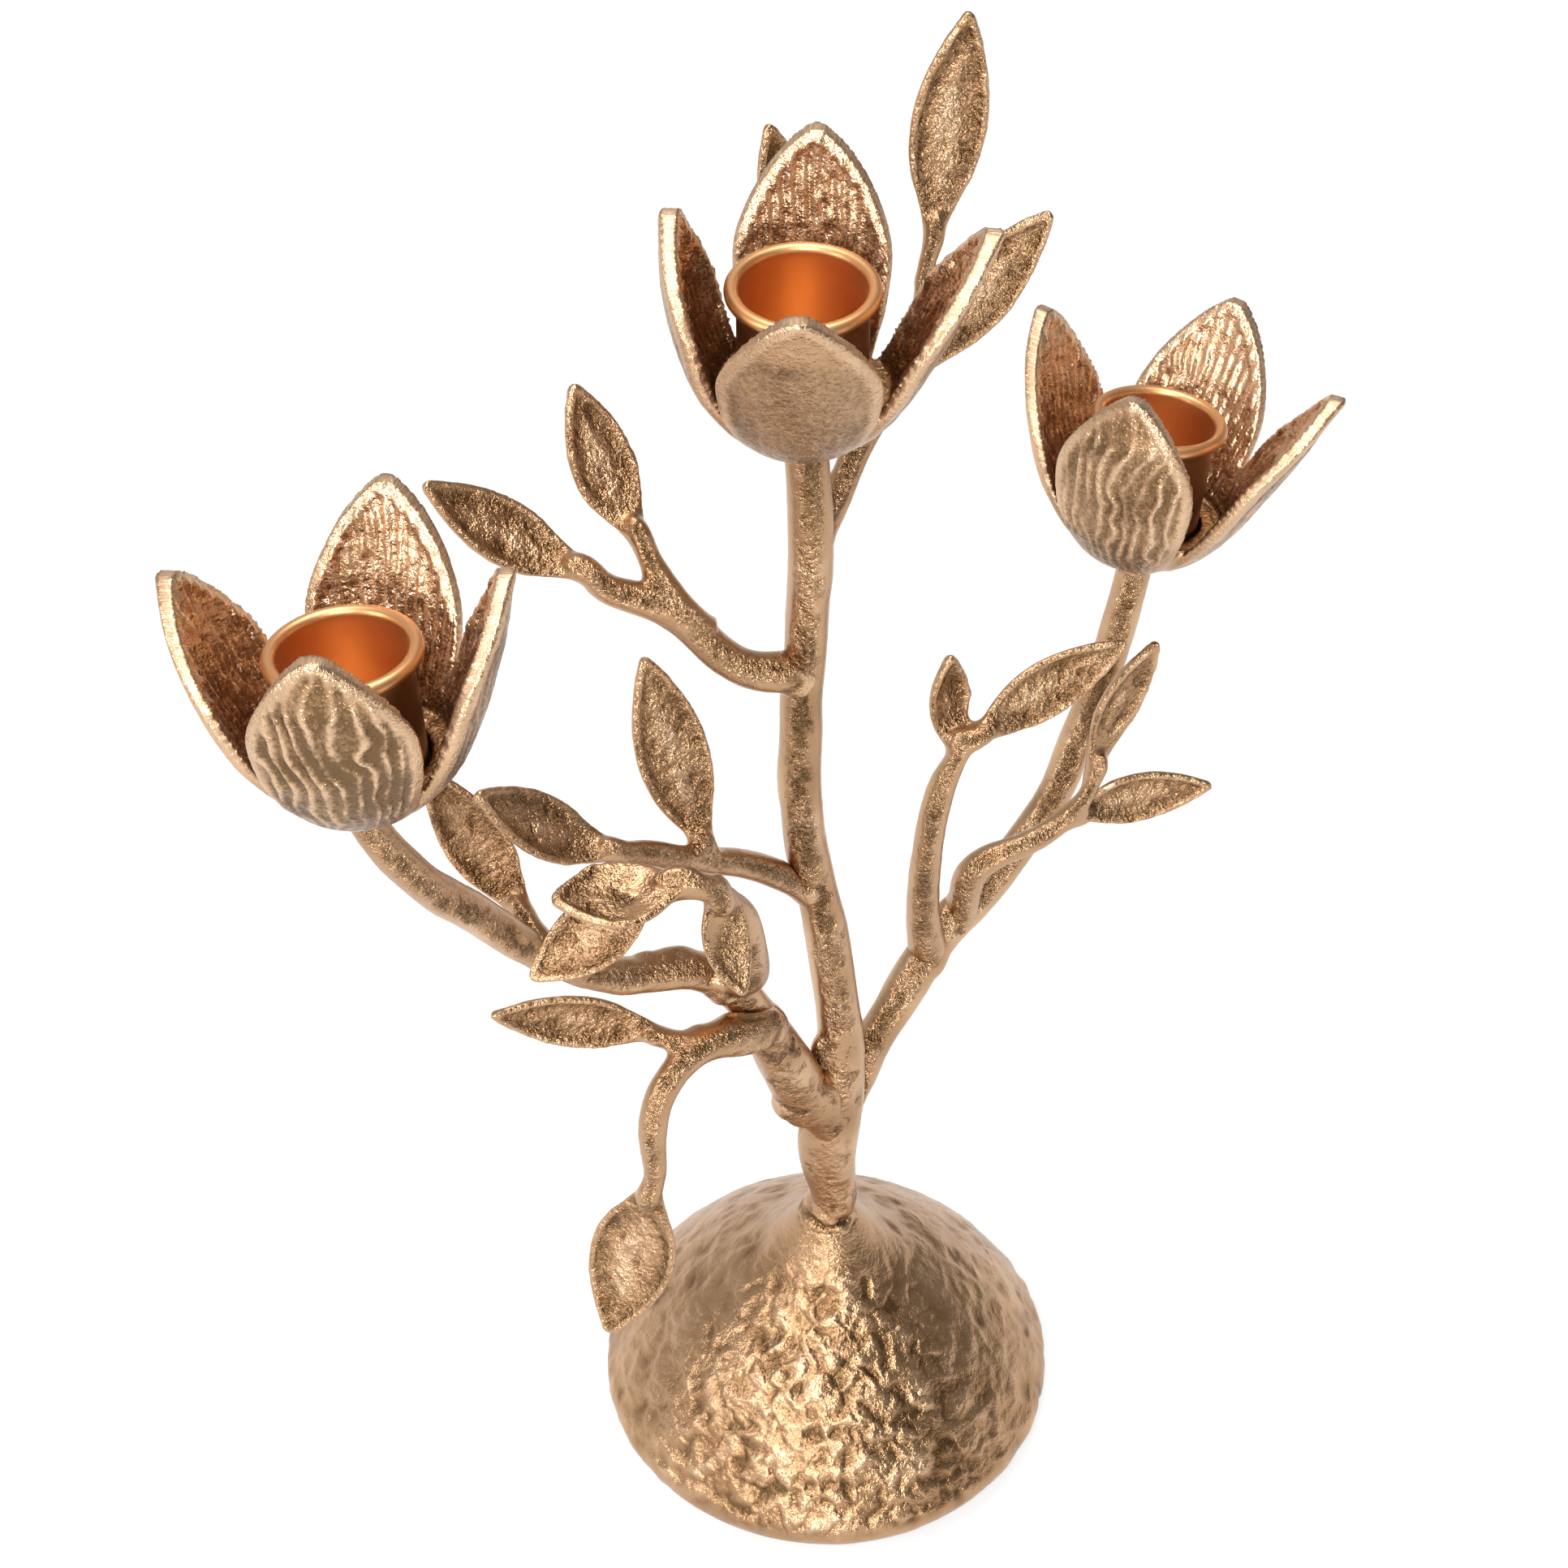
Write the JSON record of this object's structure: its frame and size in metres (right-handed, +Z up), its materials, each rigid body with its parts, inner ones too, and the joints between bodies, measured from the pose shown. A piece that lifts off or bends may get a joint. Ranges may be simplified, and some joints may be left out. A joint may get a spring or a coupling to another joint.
{
  "type": "candelabra",
  "caption": "Candelabra shaped like a small flowering tree, with a domed foot, a branching cast stem and petalled flowers that hold cups for taper candles.",
  "frame": {"origin": "centre of the felt pad's underside", "axes": "+Z up; the boughs spread along X, the left one towards -X and the right one towards +X; -Y is the front"},
  "size_m": [0.2447, 0.104, 0.3385],
  "materials": {
    "casting": "antique gold wash over a sand-cast skin",
    "cup": "spun, copper coloured, satin",
    "steel": "zinc plated",
    "felt": "black felt"
  },
  "bodies": {
    "root": {"felt_pad": "felt", "base_dome": "casting", "base_washer": "steel", "base_screw": "steel", "trunk_stem": "casting", "left_bough": "casting", "right_bough": "casting", "upper_left_spray": "casting", "mid_left_spray": "casting", "front_spray": "casting", "hanging_spray": "casting", "bough_leaf": "casting", "right_inner_spray": "casting", "right_outer_spray": "casting", "top_back_spray": "casting", "top_flower": "casting", "left_flower": "casting", "right_flower": "casting", "top_cup": "cup", "left_cup": "cup", "right_cup": "cup", "cup_washers": "steel", "cup_screws": "steel"}
  },
  "joints": []
}
